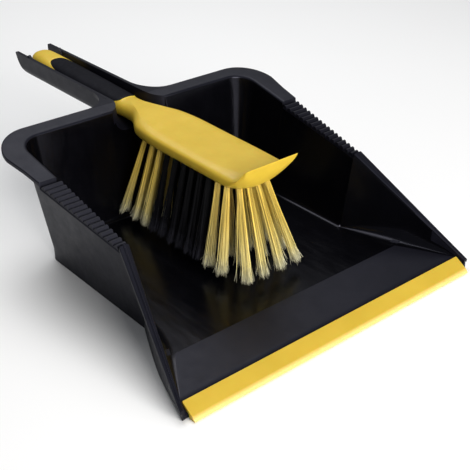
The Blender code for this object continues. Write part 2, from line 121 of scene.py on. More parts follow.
CREASE_D = 0.056
RAMP_D = 0.0155
RAMP_Z = 0.0088
TONGUE_D = 0.0070
TONGUE_Z = 0.0030
LIP_HALF = 0.14025
LIP_BACK_D = 0.0146
LIP_THICK = 0.0019
LIP_CROWN = 0.0004
LIP_EDGE_R = 0.0004
LIP_OVERHANG = 0.0006       # the slot reaches past the tongue's edge by this
LIP_END = 0.0004            # its ends are slightly rounded
LIP_END_SHRINK = 0.12

CHANNEL_HALF = 0.0192
CHANNEL_TOP = RIM_BACK_Z
CHANNEL_BOTTOM = 0.0860
CHANNEL_WALL = 0.0025
CHANNEL_FLOOR_D = 0.408
CHANNEL_CORNER_R = 0.0105
CHANNEL_DRAFT = 0.0013
CHANNEL_MOUTH_R = 0.0180    # the channel flares into the back wall
MOUTH_DROP = 0.35           # share of the widening that its floor takes part in
MOUTH_STEP = 0.0008
GUSSET = 0.022
GUSSET_LENGTH = 0.031
GUSSET_START = 0.0005       # its round starts inside the rim's edge
SUNK_IN_RAIL = 0.0008
SUNK_IN_RIM = 0.0012
MARGIN = 0.010              # cutters reach past what they cut by this
LUG_D = 0.406
LUG_REACH = 0.004
LUG_INSET = 0.0042
LUG_THICK = 0.0026
LUG_ROOT = 0.010
LUG_RISE = 0.0018           # its point, above the rail's top
LUG_POINT = 0.0025          # and behind the lug's middle
LUG_BACK_RISE = 0.0004
LUG_FRONT_DROP = 0.002
EDGE_ROUND = 0.00035

HEAD_BOTTOM = 0.0856
HANDLE_END_D = 0.4215
GRIP_D0 = 0.288
GRIP_D1 = 0.386
GRIP_FRONT_REACH = 0.0180   # forwards on top
GRIP_BACK_SIDE = -0.0270    # how far its back edge shifts low on the sides
GRIP_BACK_TOP = 0.0020      # and on top
SLEEVE = 0.0014
SLEEVE_CLEAR = 0.0002       # between the sleeve and the handle's core
SLEEVE_PROUD = 0.0001
SLEEVE_ROUND = 0.0003
BELLY = 0.0004              # the grip is this much fuller in the middle
HANDLE_HALF = 0.0135
HANDLE_Z = 0.0978
HANDLE_SLOPE = 0.028
HANDLE_RISE = 0.0083
DOME = 0.0125
DOME_HALF = 0.0118
DOME_RISE = 0.0089
NOSE_SWEEP = 0.008

TUFT_ROWS = 12
TUFT_COLUMNS = 4
TUFT_D0 = 0.106
TUFT_D1 = 0.222
TUFT_PITCH_X = 0.0105
TUFT_TIP_Z = 0.0205
TUFT_SINK = 0.0028          # how deep the filaments start inside the head
FRONT_ROW_PINCH = 0.82
TUFT_FAN_X = 2.0
LEAN_FRONT = 0.024
LEAN_BACK = 0.015
LEAN_FADE = 0.016
YELLOW_ROWS = 3
FILAMENTS = 60
TUFT_R_TOP = 0.0021
TUFT_R_TIP = 0.0042
FILAMENT_R = 0.00025
SPLIT_R = 0.00012
SPLITS = 3
SPLIT_FROM, SPLIT_TO = 0.84, 0.93   # how far down its length a filament splits
STRAY_SHARE = 0.05          # of the filaments that stand away from their tuft
STRAY = 0.0035
STRAY_RISE = 0.001
WAVER = 0.0007
WAVER_Z = 0.0008
BOW = 0.0005
FRAY = 0.0009

TONE_LOW, TONE_HIGH = 0.3, 0.7      # the range most of a noise lies in
BLUISH = (0.78, 0.80, 1.0, 1.0)     # tint of the blacks' reflections


# ---------------------------------------------------------------- helpers ---
def at(x, d, z):
    """A point from its side, its depth behind the lip's edge, and its height."""
    return Vector((x, d - LENGTH / 2, z))


def mix(a, b, t):
    """The share t of the way from a to b."""
    return a + (b - a) * t


def smooth(t):
    """From 0 to 1 with a soft start and a soft end."""
    t = max(0.0, min(1.0, t))
    return t * t * (3 - 2 * t)


def rim_z(d):
    """Height of the rim's top, which rises towards the back."""
    return RIM_BACK_Z + RIM_SLOPE * (d - RIM_BACK_D)


def mesh_piece(name, bm, sharp=32.0):
    """A new object, smooth apart from edges that turn by more than sharp degrees."""
    mesh = bpy.data.meshes.new(name)
    bm.to_mesh(mesh)
    bm.free()
    mesh.shade_smooth()
    mesh.set_sharp_from_angle(angle=math.radians(sharp))
    made = bpy.data.objects.new(name, mesh)
    bpy.context.scene.collection.objects.link(made)
    return made


def outline_solid(name, points, depth):
    """A flat outline, pushed along the vector depth into a solid."""
    bm = bmesh.new()
    face = bm.faces.new([bm.verts.new(p) for p in points])
    pushed = bmesh.ops.extrude_face_region(bm, geom=[face])["geom"]
    verts = [v for v in pushed if isinstance(v, bmesh.types.BMVert)]
    bmesh.ops.translate(bm, verts=verts, vec=depth)
    bmesh.ops.recalc_face_normals(bm, faces=bm.faces)
    return mesh_piece(name, bm)


def loft(bm, rings, closed=False):
    """Quads through rings of points; flat caps, or the last ring back to the first."""
    rows = [[bm.verts.new(p) for p in ring] for ring in rings]
    count = len(rows[0])
    pairs = list(zip(rows, rows[1:]))
    if closed:
        pairs.append((rows[-1], rows[0]))
    for low, high in pairs:
        for i in range(count):
            j = (i + 1) % count
            bm.faces.new((low[i], low[j], high[j], high[i]))
    if not closed:
        bm.faces.new(rows[0][::-1])
        bm.faces.new(rows[-1])
    return rows


def ring_loft(name, rings, closed=False, sharp=32.0):
    """A new object through rings of points."""
    bm = bmesh.new()
    loft(bm, rings, closed=closed)
    bmesh.ops.recalc_face_normals(bm, faces=bm.faces)
    return mesh_piece(name, bm, sharp)


def boolean(target, tool, operation):
    """Joins or cuts at once, and removes the tool."""
    made = target.modifiers.new(operation.lower(), "BOOLEAN")
    made.operation = operation
    made.solver = "EXACT"
    made.object = tool
    bake_modifiers(target)
    bpy.data.objects.remove(tool, do_unlink=True)


def bake_modifiers(piece):
    """Makes the piece's modifiers part of its mesh."""
    bpy.context.view_layer.update()
    graph = bpy.context.evaluated_depsgraph_get()
    mesh = bpy.data.meshes.new_from_object(piece.evaluated_get(graph))
    piece.modifiers.clear()
    piece.data = mesh


# -------------------------------------------------------------- materials ---
def shader_material(name, **sockets):
    """A new Principled material; sockets are its uniform values."""
    made = bpy.data.materials.new(name)
    made.use_nodes = True
    shader = made.node_tree.nodes["Principled BSDF"]
    for key, value in sockets.items():
        shader.inputs[key.replace("_", " ")].default_value = value
    return made, made.node_tree, shader


def node(tree, kind, inputs=None, **settings):
    """A shader node.  Inputs that are sockets are linked, the others are set."""
    made = tree.nodes.new(kind)
    for key, value in settings.items():
        setattr(made, key, value)
    for key, value in (inputs or {}).items():
        if isinstance(value, bpy.types.NodeSocket):
            tree.links.new(value, made.inputs[key])
        else:
            made.inputs[key].default_value = value
    return made


def place(tree):
    """Places on the piece, in metres."""
    return node(tree, "ShaderNodeTexCoord").outputs["Object"]


def noise(tree, scale, detail=3.0, roughness=0.5, stretch=None):
    """Noise in the piece's own space, finer along an axis that stretch scales up."""
    where = place(tree)
    if stretch:
        where = node(tree, "ShaderNodeMapping", {"Vector": where, "Scale": stretch}).outputs[0]
    made = node(tree, "ShaderNodeTexNoise",
                {"Vector": where, "Scale": scale, "Detail": detail, "Roughness": roughness})
    return made.outputs["Fac"]


def remap(tree, value, low, high, to_low, to_high):
    """The range from low to high becomes the range from to_low to to_high."""
    return node(tree, "ShaderNodeMapRange",
                {"Value": value, "From Min": low, "From Max": high,
                 "To Min": to_low, "To Max": to_high}).outputs["Result"]


def ramp(tree, value, *stops):
    """A colour that passes the (position, colour) stops as value goes from 0 to 1."""
    made = node(tree, "ShaderNodeValToRGB", {"Fac": value})
    elements = made.color_ramp.elements
    while len(elements) < len(stops):
        elements.new(0.5)
    for element, (position, colour) in zip(elements, stops):
        element.position = position
        element.color = (*colour, 1.0)
    return made.outputs["Color"]


def pale_mix(tree, factor, colour, pale):
    """From colour to pale as factor goes from 0 to 1."""
    made = tree.nodes.new("ShaderNodeMix")
    made.data_type = "RGBA"
    factor_in, colour_in, pale_in, mixed_out = 0, 6, 7, 2
    tree.links.new(factor, made.inputs[factor_in])
    tree.links.new(colour, made.inputs[colour_in])
    made.inputs[pale_in].default_value = (*pale, 1.0)
    return made.outputs[mixed_out]


def set_colour(tree, shader, tone, dark, light):
    """The base colour runs from dark to light with a noise."""
    colour = ramp(tree, tone, (TONE_LOW, dark), (TONE_HIGH, light))
    tree.links.new(colour, shader.inputs["Base Color"])


def set_roughness(tree, shader, tone, low, high):
    """The roughness runs from low to high with a noise."""
    rough = remap(tree, tone, TONE_LOW, TONE_HIGH, low, high)
    tree.links.new(rough, shader.inputs["Roughness"])


def bump(tree, shader, height, distance, strength):
    """Fine grain that is too small for the mesh."""
    made = node(tree, "ShaderNodeBump",
                {"Height": height, "Distance": distance, "Strength": strength})
    tree.links.new(made.outputs["Normal"], shader.inputs["Normal"])


def satin_black():
    """Finely grained moulding: the rim, the ramp and everything outside."""
    made, tree, shader = shader_material("pan_satin_black", Specular_IOR_Level=0.19,
                                         Specular_Tint=BLUISH)
    tone = noise(tree, 38.0, 4.0, 0.6)
    set_colour(tree, shader, tone, (0.0040, 0.0040, 0.0070), (0.0064, 0.0064, 0.0104))
    set_roughness(tree, shader, noise(tree, 90.0, 5.0, 0.65), 0.40, 0.52)
    bump(tree, shader, noise(tree, 1500.0, 2.0), 0.00006, 0.55)
    return made


def gloss_black():
    """The polished inside of the pan, with faint streaks from sweeping."""
    made, tree, shader = shader_material("pan_gloss_black", Specular_IOR_Level=0.20,
                                         Specular_Tint=(0.80, 0.80, 1.0, 1.0))
    tone = noise(tree, 30.0, 4.0)
    set_colour(tree, shader, tone, (0.0010, 0.0010, 0.0016), (0.0019, 0.0019, 0.0028))
    streaks = noise(tree, 60.0, 4.0, 0.6, (3.0, 0.6, 1.0))
    set_roughness(tree, shader, streaks, 0.15, 0.25)
    bump(tree, shader, noise(tree, 420.0, 3.0), 0.00002, 0.5)
    return made


def lip_yellow():
    """Soft strip, with a painted highlight: its colour turns pale along its rounded front edge.
    """
    made, tree, shader = shader_material("lip_soft_yellow", Specular_IOR_Level=0.34,
                                         Subsurface_Weight=0.25, Subsurface_Scale=0.003)
    depth = node(tree, "ShaderNodeSeparateXYZ", {"Vector": place(tree)}).outputs["Y"]
    front = -LENGTH / 2
    # painted highlight: the base colour turns pale over the last few millimetres to the front
    # edge
    painted_front_highlight = remap(tree, depth, front + 0.0012, front + 0.0034, 1.0, 0.0)
    tone = ramp(tree, noise(tree, 26.0, 4.0),
                (TONE_LOW, (0.50, 0.34, 0.030)), (TONE_HIGH, (0.56, 0.38, 0.040)))
    colour = pale_mix(tree, painted_front_highlight, tone, (0.88, 0.62, 0.20))
    tree.links.new(colour, shader.inputs["Base Color"])
    set_roughness(tree, shader, noise(tree, 220.0, 3.0), 0.36, 0.50)
    bump(tree, shader, noise(tree, 900.0, 2.0), 0.00005, 0.4)
    return made


def brush_yellow():
    """Satin moulded plastic, very slightly mottled."""
    made, tree, shader = shader_material("brush_yellow", Specular_IOR_Level=0.34,
                                         Subsurface_Weight=0.12, Subsurface_Scale=0.004)
    tone = noise(tree, 55.0, 5.0, 0.6)
    set_colour(tree, shader, tone, (0.66, 0.45, 0.040), (0.72, 0.50, 0.052))
    set_roughness(tree, shader, noise(tree, 160.0, 4.0), 0.30, 0.42)
    bump(tree, shader, noise(tree, 700.0, 3.0), 0.00004, 0.4)
    return made


def grip_black():
    """Soft touch sleeve: matte, finely pebbled."""
    made, tree, shader = shader_material("grip_soft_black", Specular_IOR_Level=0.08,
                                         Specular_Tint=BLUISH)
    tone = noise(tree, 70.0, 4.0)
    set_colour(tree, shader, tone, (0.0022, 0.0022, 0.0040), (0.0042, 0.0042, 0.0068))
    set_roughness(tree, shader, noise(tree, 240.0, 3.0), 0.46, 0.60)
    pebbles = noise(tree, 1100.0, 2.0, 0.5, (1.0, 0.45, 1.0))
    bump(tree, shader, pebbles, 0.00008, 0.6)
    return made


def filament_material(name, root, middle, tip, split, roughness, gloss):
    """Colour runs along each filament; every filament has its own shade."""
    made, tree, shader = shader_material(name, Roughness=roughness, Specular_IOR_Level=gloss)
    data = node(tree, "ShaderNodeAttribute", attribute_name="filament").outputs["Color"]
    parts = node(tree, "ShaderNodeSeparateColor", {"Color": data})
    along = ramp(tree, parts.outputs["Green"],
                 (0.0, root), (0.45, middle), (0.82, tip), (0.96, split))
    shade = remap(tree, parts.outputs["Red"], 0.0, 1.0, 0.55, 1.18)
    scaled = node(tree, "ShaderNodeVectorMath", {0: along}, operation="SCALE")
    tree.links.new(shade, scaled.inputs["Scale"])
    tree.links.new(scaled.outputs["Vector"], shader.inputs["Base Color"])
    return made


# -------------------------------------------------------------- pan: tub ---
def bend(a, corner, b, steps):
    """Points on the round from a to b whose sides meet at corner."""
    points = []
    for i in range(steps + 1):
        t = i / steps
        points.append(a * (1 - t) ** 2 + corner * 2 * t * (1 - t) + b * t ** 2)
    return points


def wall_section(base, top, edge, skirt, fillet, foot_z=0.0, bead=0.0):
    """One closed-off section of the shell, from the floor's top round to its underside.

    It runs up the wall, over the rim, down its skirt, back under it and down
    the foot.  bead is the height of a fine raised line along the rim.
    """
    down = Vector((0, 0, -1))
    flat = Vector((1, 1, 0))
    outwards = (edge - top) * flat
    width = outwards.length
    outwards.normalize()
    rise = top - base
    up = rise.normalized()
    across = (edge - top).normalized()
    radius = min(fillet, 0.4 * rise.length)
    rounding = min(RIM_ROUND, 0.3 * rise.length, 0.35 * width)
    edge_r = min(RIM_EDGE_R, 0.25 * width)
    row = bend(base - outwards * radius, base, base + up * radius, 6)
    row += bend(top - up * rounding, top, top + across * rounding, 5)
    for share, lift in BEAD_PROFILE:
        row.append(top + across * (width * share) - down * (bead * lift))
    row += bend(edge - across * edge_r, edge, edge + down * edge_r, 4)
    skirt_wall = min(WALL, 0.4 * width)
    row += [edge + down * (skirt - CHAMFER), edge + down * skirt - outwards * CHAMFER]
    skirt_in = edge - outwards * skirt_wall
    row += [skirt_in + down * skirt + outwards * CHAMFER, skirt_in + down * WALL]
    under_rim = top + outwards * min(WALL, 0.5 * width) + down * WALL
    foot_out = (base + outwards * WALL) * flat
    foot_in = (base + down * WALL) * flat
    low = Vector((0, 0, foot_z))
    foot_top = Vector((0, 0, max(base.z - FOOT_DROP, foot_z + FOOT_LEAST)))
    row += [under_rim, foot_out + foot_top, foot_out + low, foot_in + low,
            base + down * WALL, base - outwards * radius + down * WALL]
    return row


def floor_z(d):
    """The top of the floor, the ramp and the tongue along the middle."""
    if d >= CREASE_D:
        return FLOOR_Z
    if d >= RAMP_D:
        return mix(FLOOR_Z, RAMP_Z, (CREASE_D - d) / (CREASE_D - RAMP_D))
    return mix(TONGUE_Z, RAMP_Z, (d - TONGUE_D) / (RAMP_D - TONGUE_D))


def wing_share(d):
    """0 where the wing begins, 1 at its tip."""
    return (WING_D - d) / (WING_D - TIP_D)


def wing_base_half(d):
    """The ramp's half width."""
    return mix(FLOOR_HALF, TIP_HALF - TIP_INSET, 1 - (1 - wing_share(d)) ** WING_BULGE)


def wing_fillet(d):
    """Widest halfway along the wing, and gone just before its tip."""
    turn = math.pi * min(1.0, wing_share(d) * 1.09)
    return mix(LEAST_FILLET, WING_FILLET, max(0.0, math.sin(turn)))


def wing_section(d):
    """A side wall in front of the turn, where it spreads and gets lower."""
    t = wing_share(d)
    inner = mix(WING_TOP_HALF, TIP_HALF, t)
    top_z = mix(rim_z(WING_D), TIP_Z, t)
    width = mix(WING_TOP_WIDTH, TIP_WIDTH, t)
    low = min(floor_z(max(d, TONGUE_D)), top_z - WING_LEAST_RISE)
    skirt = min(WING_SKIRT, 0.5 * (top_z - low))
    lifted = low - WALL - GAP
    foot_z = mix(0.0, lifted, max(0.0, (CREASE_D - d) / (CREASE_D - TONGUE_D)))
    return wall_section(at(wing_base_half(d), d, low), at(inner, d, top_z),
                        at(inner + width, d, top_z), skirt, wing_fillet(d),
                        foot_z, bead=BEAD)


def comb_half_out(d):
    """Half width of the rim's outer edge along the comb."""
    return mix(COMB_HALF_OUT0, COMB_HALF_OUT1, (d - TEETH_D0) / (TEETH_D1 - TEETH_D0))


def side_section(d, drop):
    """A side wall between the wing and the corner."""
    t = (d - WING_D) / (TOP_BACK_D - TOP_CORNER_R - WING_D)
    z = rim_z(d) - drop
    return wall_section(at(FLOOR_HALF, d, FLOOR_Z), at(mix(WING_TOP_HALF, TOP_HALF, t), d, z),
                        at(comb_half_out(d), d, z), SKIRT - drop * 0.4, FLOOR_FILLET)


def corner_section(angle):
    """Round the back corner: floor, inner rim and outer rim turn together."""
    def turn(half, back, radius):
        x = half - radius + radius * math.cos(angle)
        return x, back - radius + radius * math.sin(angle)
    base = turn(FLOOR_HALF, FLOOR_BACK_D, FLOOR_CORNER_R)
    top = turn(TOP_HALF, TOP_BACK_D, TOP_CORNER_R)
    edge = turn(RIM_HALF, RIM_BACK_D, RIM_CORNER_R)
    return wall_section(at(*base, FLOOR_Z), at(*top, rim_z(top[1])),
                        at(*edge, rim_z(edge[1])), SKIRT, FLOOR_FILLET)


def back_section(x):
    """The back wall between its two corners."""
    return wall_section(at(x, FLOOR_BACK_D, FLOOR_Z), at(x, TOP_BACK_D, rim_z(TOP_BACK_D)),
                        at(x, RIM_BACK_D, RIM_BACK_Z), SKIRT, FLOOR_FILLET)


def tub_sections():
    """Sections of the right half: those along the ramp, then the rest."""
    steps = 8
    ramp_depths = [TONGUE_D] + [mix(RAMP_D, CREASE_D, i / steps) for i in range(steps + 1)]
    ramp_rows = [wing_section(d) for d in ramp_depths]
    rest = [wing_section(mix(CREASE_D, WING_D, i / steps)) for i in range(1, steps + 1)]
    rest += [side_section(WING_D + LEDGE, TEETH_DROP),
             side_section(TEETH_D1 + LEDGE, TEETH_DROP),
             side_section(TEETH_D1 + 2 * LEDGE, 0.0), side_section(SIDE_BACK_D, 0.0)]
    rest += [corner_section(math.radians(a)) for a in range(0, 91, 6)]
    rest += [back_section(x) for x in (BACK_X, 0.0)]
    return ramp_rows, rest


def half_tub():
    """The right half of the tub, open along the middle, where Mirror closes it."""
    ramp_rows, rest = tub_sections()
    bm = bmesh.new()
    rows = [[bm.verts.new(p) for p in row] for row in ramp_rows + rest]
    for low, high in zip(rows, rows[1:]):
        for i in range(len(low) - 1):
            bm.faces.new((low[i], high[i], high[i + 1], low[i + 1]))
    bm.faces.new(rows[0])
    fronts = []
    for side in (0, -1):
        near = [row[side] for row in rows]
        middle = [bm.verts.new(Vector((0, v.co.y, v.co.z))) for v in near[:len(ramp_rows)]]
        for i in range(len(ramp_rows) - 1):
            bm.faces.new((middle[i], middle[i + 1], near[i + 1], near[i]))
        bm.faces.new([middle[-1]] + near[len(ramp_rows) - 1:][::-1])
        fronts.append(middle[0])
    bm.faces.new((fronts[0], rows[0][0], rows[0][-1], fronts[1]))
    bmesh.ops.recalc_face_normals(bm, faces=bm.faces)
    return bm


# ------------------------------------------------- pan: comb and handle ---
def comb_outline():
    """One side's comb seen from the side: teeth above, sunk into the rim below."""
    pitch = (TEETH_D1 - TEETH_D0) / TEETH
    under = TEETH_DROP + COMB_SUNK
    points = [(TEETH_D1, rim_z(TEETH_D1) - under), (TEETH_D0, rim_z(TEETH_D0) - under)]
    for i in range(TEETH):
        d = TEETH_D0 + i * pitch
        foot = rim_z(d) - TEETH_DROP + TEETH_FOOT
        points += [(d, foot), (d + TOOTH_RISE * pitch, foot + TOOTH_HEIGHT),
                   (d + TOOTH_FALL * pitch, foot + TOOTH_HEIGHT)]
    points.append((TEETH_D1, rim_z(TEETH_D1) - TEETH_DROP + TEETH_FOOT))
    return points


def make_comb(side):
    """The comb follows the rim's narrowing width."""
    inner, outer = [], []
    for d, z in comb_outline():
        inner.append(at(side * COMB_HALF_IN, d, z))
        outer.append(at(side * (comb_half_out(d) - COMB_INSET), d, z))
    return ring_loft("comb", [inner, outer])


def channel_profile(inset, flare, top, steps=14):
    """The handle's U-shaped section as (x, z) points, all the way round."""
    half = CHANNEL_HALF - inset + flare
    low = CHANNEL_BOTTOM + inset - MOUTH_DROP * flare
    radius = CHANNEL_CORNER_R
    points = [(0.0, low)]
    for i in range(steps + 1):
        a = math.radians(-90 + 80 * i / steps)
        x = half - CHANNEL_DRAFT - radius + radius * math.cos(a)
        points.append((x, low + radius + radius * math.sin(a)))
    points.append((half, top))
    return points + [(-x, z) for x, z in reversed(points[1:])]


def mouth_flare(steps=12):
    """(depth, widening) pairs of the quarter round from the back wall into the channel."""
    pairs = []
    for i in range(steps + 1):
        a = math.radians(90 * i / steps)
        pairs.append((CHANNEL_MOUTH_R * (1 - math.cos(a)), CHANNEL_MOUTH_R * (1 - math.sin(a))))
    return pairs


def wall_in_d(z):
    """Depth of the back wall's inner face, which leans back towards the rim."""
    t = (min(z, RIM_BACK_Z) - FLOOR_Z) / (RIM_BACK_Z - FLOOR_Z)
    return mix(FLOOR_BACK_D, TOP_BACK_D, t)


def make_channel():
    """The channel as a solid block; its inside and its ends are cut afterwards."""
    rings = []
    for back, flare in mouth_flare():
        top = min(CHANNEL_TOP, rim_z(TOP_BACK_D + WALL / 2 + back)) - HAIR
        rings.append([at(x, wall_in_d(z) + WALL / 2 + back, z)
                      for x, z in channel_profile(0.0, flare, top)])
    for d in (TOP_BACK_D + WALL / 2 + CHANNEL_MOUTH_R + MOUTH_STEP, LENGTH):
        rings.append([at(x, d, z) for x, z in channel_profile(0.0, 0.0, CHANNEL_TOP)])
    return ring_loft("channel", rings)


def make_channel_cutter():
    """The channel's inside, from the pan's hollow out past the rails' ends."""
    above = CHANNEL_TOP + MARGIN
    widest = channel_profile(CHANNEL_WALL, CHANNEL_MOUTH_R, above)
    rings = [[at(x, wall_in_d(z) - MARGIN, z) for x, z in widest]]
    for back, flare in mouth_flare():
        rings.append([at(x, wall_in_d(z) + back, z)
                      for x, z in channel_profile(CHANNEL_WALL, flare, above)])
    straight = channel_profile(CHANNEL_WALL, 0.0, above)
    rings.append([at(x, LENGTH + MARGIN, z) for x, z in straight])
    return ring_loft("channel_cutter", rings)


def make_end_cutter():
    """What lies beyond the quarter round at the rails' ends."""
    low = CHANNEL_BOTTOM - MARGIN
    side = -CHANNEL_HALF - MARGIN
    points = [at(side, LENGTH + MARGIN, CHANNEL_TOP), at(side, LENGTH + MARGIN, low),
              at(side, CHANNEL_FLOOR_D, low)]
    steps = 20
    for i in range(steps + 1):
        a = math.radians(90 * i / steps)
        d = mix(CHANNEL_FLOOR_D, LENGTH, math.sin(a))
        points.append(at(side, d, mix(CHANNEL_TOP, CHANNEL_BOTTOM, math.cos(a))))
    return outline_solid("end_cutter", points, Vector((-2 * side, 0, 0)))


def make_gusset(side):
    """The rim runs into the rail in a plan fillet."""
    x0 = CHANNEL_HALF - SUNK_IN_RAIL
    d0 = RIM_BACK_D - SUNK_IN_RIM
    low = CHANNEL_TOP - SKIRT
    points = [at(side * x0, d0, low), at(side * (CHANNEL_HALF + GUSSET), d0, low)]
    steps = 16
    for i in range(steps + 1):
        a = math.radians(90 * i / steps)
        x = CHANNEL_HALF + GUSSET * (1 - math.sin(a))
        d = mix(RIM_BACK_D - GUSSET_START, RIM_BACK_D + GUSSET_LENGTH, 1 - math.cos(a))
        points.append(at(side * x, d, low))
    points.append(at(side * x0, RIM_BACK_D + GUSSET_LENGTH, low))
    return outline_solid("gusset", points, Vector((0, 0, SKIRT - HAIR)))


def make_lug(side):
    """A small triangular lug that stands above the rail's top."""
    x = side * (CHANNEL_HALF - LUG_INSET)
    front, back = LUG_D - LUG_REACH, LUG_D + LUG_REACH
    points = [at(x, front, CHANNEL_TOP - LUG_ROOT), at(x, back, CHANNEL_TOP - LUG_ROOT),
              at(x, back, CHANNEL_TOP + LUG_BACK_RISE),
              at(x, LUG_D + LUG_POINT, CHANNEL_TOP + LUG_RISE),
              at(x, front, CHANNEL_TOP - LUG_FRONT_DROP)]
    return outline_solid("lug", points, Vector((side * LUG_THICK, 0, 0)))


def is_inside(face):
    """True for the polished faces: the floor and the walls below the rim."""
    below_rim, below_wing, above_floor, level = 0.0015, 0.0010, 0.0012, 0.0002
    least_upward = 0.02
    centre = face.center
    d = centre.y + LENGTH / 2
    if face.normal.z < least_upward or d > TOP_BACK_D or centre.z > rim_z(d) - below_rim:
        return False
    if d < WING_D and centre.z > floor_z(d) + above_floor:
        return centre.z < mix(rim_z(WING_D), TIP_Z, wing_share(d)) - below_wing
    if d < CREASE_D:
        return abs(centre.x) > wing_base_half(d) - wing_fillet(d)
    return centre.z > FLOOR_Z - level and abs(centre.x) < TOP_HALF


def soften_edges(piece, width, angle=40.0):
    """Rounds every edge that turns by more than angle degrees."""
    made = piece.modifiers.new("soften", "BEVEL")
    made.width = width
    made.segments = 2
    made.limit_method = "ANGLE"
    made.angle_limit = math.radians(angle)
    made.use_clamp_overlap = True
    bake_modifiers(piece)


def level_normals(piece):
    """Flats stay flat beside their rounded edges."""
    made = piece.modifiers.new("normals", "WEIGHTED_NORMAL")
    made.keep_sharp = True
    made.weight = 60


def make_pan():
    """The tub, its handle, combs, gussets and lugs as one shell."""
    pan = mesh_piece("pan_shell", half_tub())
    mirror = pan.modifiers.new("mirror", "MIRROR")
    mirror.merge_threshold = MERGE
    bake_modifiers(pan)
    boolean(pan, make_channel(), "UNION")
    for side in (-1, 1):
        boolean(pan, make_gusset(side), "UNION")
    boolean(pan, make_channel_cutter(), "DIFFERENCE")
    boolean(pan, make_end_cutter(), "DIFFERENCE")
    for side in (-1, 1):
        boolean(pan, make_comb(side), "UNION")
        boolean(pan, make_lug(side), "UNION")
    soften_edges(pan, EDGE_ROUND)
    pan.data.shade_smooth()
    pan.data.set_sharp_from_angle(angle=math.radians(38.0))
    pan.data.materials.clear()
    pan.data.materials.append(satin_black())
    pan.data.materials.append(gloss_black())
    for face in pan.data.polygons:
        face.material_index = 1 if is_inside(face) else 0
    level_normals(pan)
    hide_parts("pan_body")
    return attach(pan, "pan")


# --------------------------------------------------------------- the lip ---
def lip_outline():
    """The strip's section: flat on the tongue, rounded down to the ground.

    It runs from the slot's back corner over the top and round the front edge.
    """
    slope = math.atan2(RAMP_Z - TONGUE_Z, RAMP_D - TONGUE_D)
    up = Vector((0, -math.sin(slope), math.cos(slope)))
    back = at(0, LIP_BACK_D, floor_z(LIP_BACK_D))
    slot_d = TONGUE_D - LIP_OVERHANG
    front = at(0, slot_d, floor_z(slot_d))
    back_top = back + up * (GAP + LIP_THICK)
    crown = mix(back, front, 0.5) + up * (GAP + LIP_THICK + LIP_CROWN)
    shoulder, brow = at(0, 0.0016, 0.0029), at(0, 0.0004, 0.0017)
    edge_top, edge, edge_low = at(0, 0.0006, 0.0019), at(0, -0.0002, 0.0008), at(0, 0.0008, 0.0)
    heel, drop = at(0, 0.0046, 0.0), 0.0022
    along = (crown - back_top).normalized()
    row = [back + up * GAP]
    row += bend(back_top - up * LIP_EDGE_R, back_top, back_top + along * LIP_EDGE_R, 3)
    row += bend(mix(back_top, crown, 0.7), crown, mix(crown, shoulder, 0.3), 4)
    row += bend(mix(crown, shoulder, 0.8), shoulder, mix(shoulder, brow, 0.5), 4)
    row += bend(edge_top, edge, edge_low, 5)
    row += [heel, front + Vector((0, -GAP, -drop)), front + up * GAP]
    return row


def make_lip():
    row = lip_outline()
    centre = sum(row, Vector()) / len(row)
    rings = []
    for x, shrink in ((-LIP_HALF, LIP_END_SHRINK), (LIP_END - LIP_HALF, 0.0),
                      (LIP_HALF - LIP_END, 0.0), (LIP_HALF, LIP_END_SHRINK)):
        rings.append([mix(p, centre, shrink) + Vector((x, 0, 0)) for p in row])
    lip = ring_loft("lip_soft_strip", rings, sharp=35.0)
    lip.data.materials.append(lip_yellow())
    level_normals(lip)
    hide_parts("lip_strip")
    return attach(lip, "pan")


# ------------------------------------------------------------- the brush ---
FLAT_STEPS = 6
UPPER_STEPS = 14
LOWER_STEPS = 14


def half_section(station):
    """Right half of a brush section from its top middle to its bottom middle.

    Gives (x, t) pairs, t running from 1 at the top to 0 at the bottom.  The
    top has a flat of its own half width; its edge is crisp on a round section.
    """
    half, flat, square_top, square_bottom, widest = station[4:9]
    share = min(0.98, flat / half)
    start = math.acos(share ** (square_top / 2))
    lift = math.sin(start) ** (2 / square_top)
    points = [(flat * i / FLAT_STEPS, 1.0) for i in range(FLAT_STEPS)]
    for i in range(UPPER_STEPS):
        a = start * (1 - i / UPPER_STEPS)
        x = half * math.cos(a) ** (2 / square_top)
        points.append((x, mix(widest, 1.0, math.sin(a) ** (2 / square_top) / lift)))
    for i in range(LOWER_STEPS + 1):
        a = math.pi / 2 * i / LOWER_STEPS
        x = half * max(0.0, math.cos(a)) ** (2 / square_bottom)
        points.append((x, widest * (1 - math.sin(a) ** (2 / square_bottom))))
    return points


def brush_ring(station, shift=None):
    """A whole section between its (depth, height) top and bottom points."""
    top_d, top_z, bottom_d, bottom_z = station[:4]
    half = half_section(station)
    loop = half + [(-x, t) for x, t in reversed(half[1:-1])]
    ring = []
    for x, t in loop:
        d = mix(bottom_d, top_d, t)
        if shift:
            d += shift(x, t)
        ring.append(at(x, d, mix(bottom_z, top_z, t)))
    return ring


def catmull(a, b, c, d, t):
    """A station t of the way from b to c on a smooth curve past all four."""
    return [0.5 * (2 * q + (r - p) * t + (2 * p - 5 * q + 4 * r - s) * t * t
                   + (3 * q - p - 3 * r + s) * t ** 3) for p, q, r, s in zip(a, b, c, d)]


def through(stations, steps):
    """Stations along a smooth curve through the given ones."""
    ends = [stations[0]] + list(stations) + [stations[-1]]
    made = []
    for k in range(len(stations) - 1):
        for i in range(steps):
            made.append(catmull(*ends[k:k + 4], i / steps))
    return made + [list(stations[-1])]


def handle_station(d, half, rise, flat=0.0):
    """A station of the handle, whose middle line rises slightly to the back."""
    z = HANDLE_Z + HANDLE_SLOPE * (d - GRIP_D0)
    return (d, z + rise, d, z - rise, half, flat, 2.3, 2.3, 0.5)


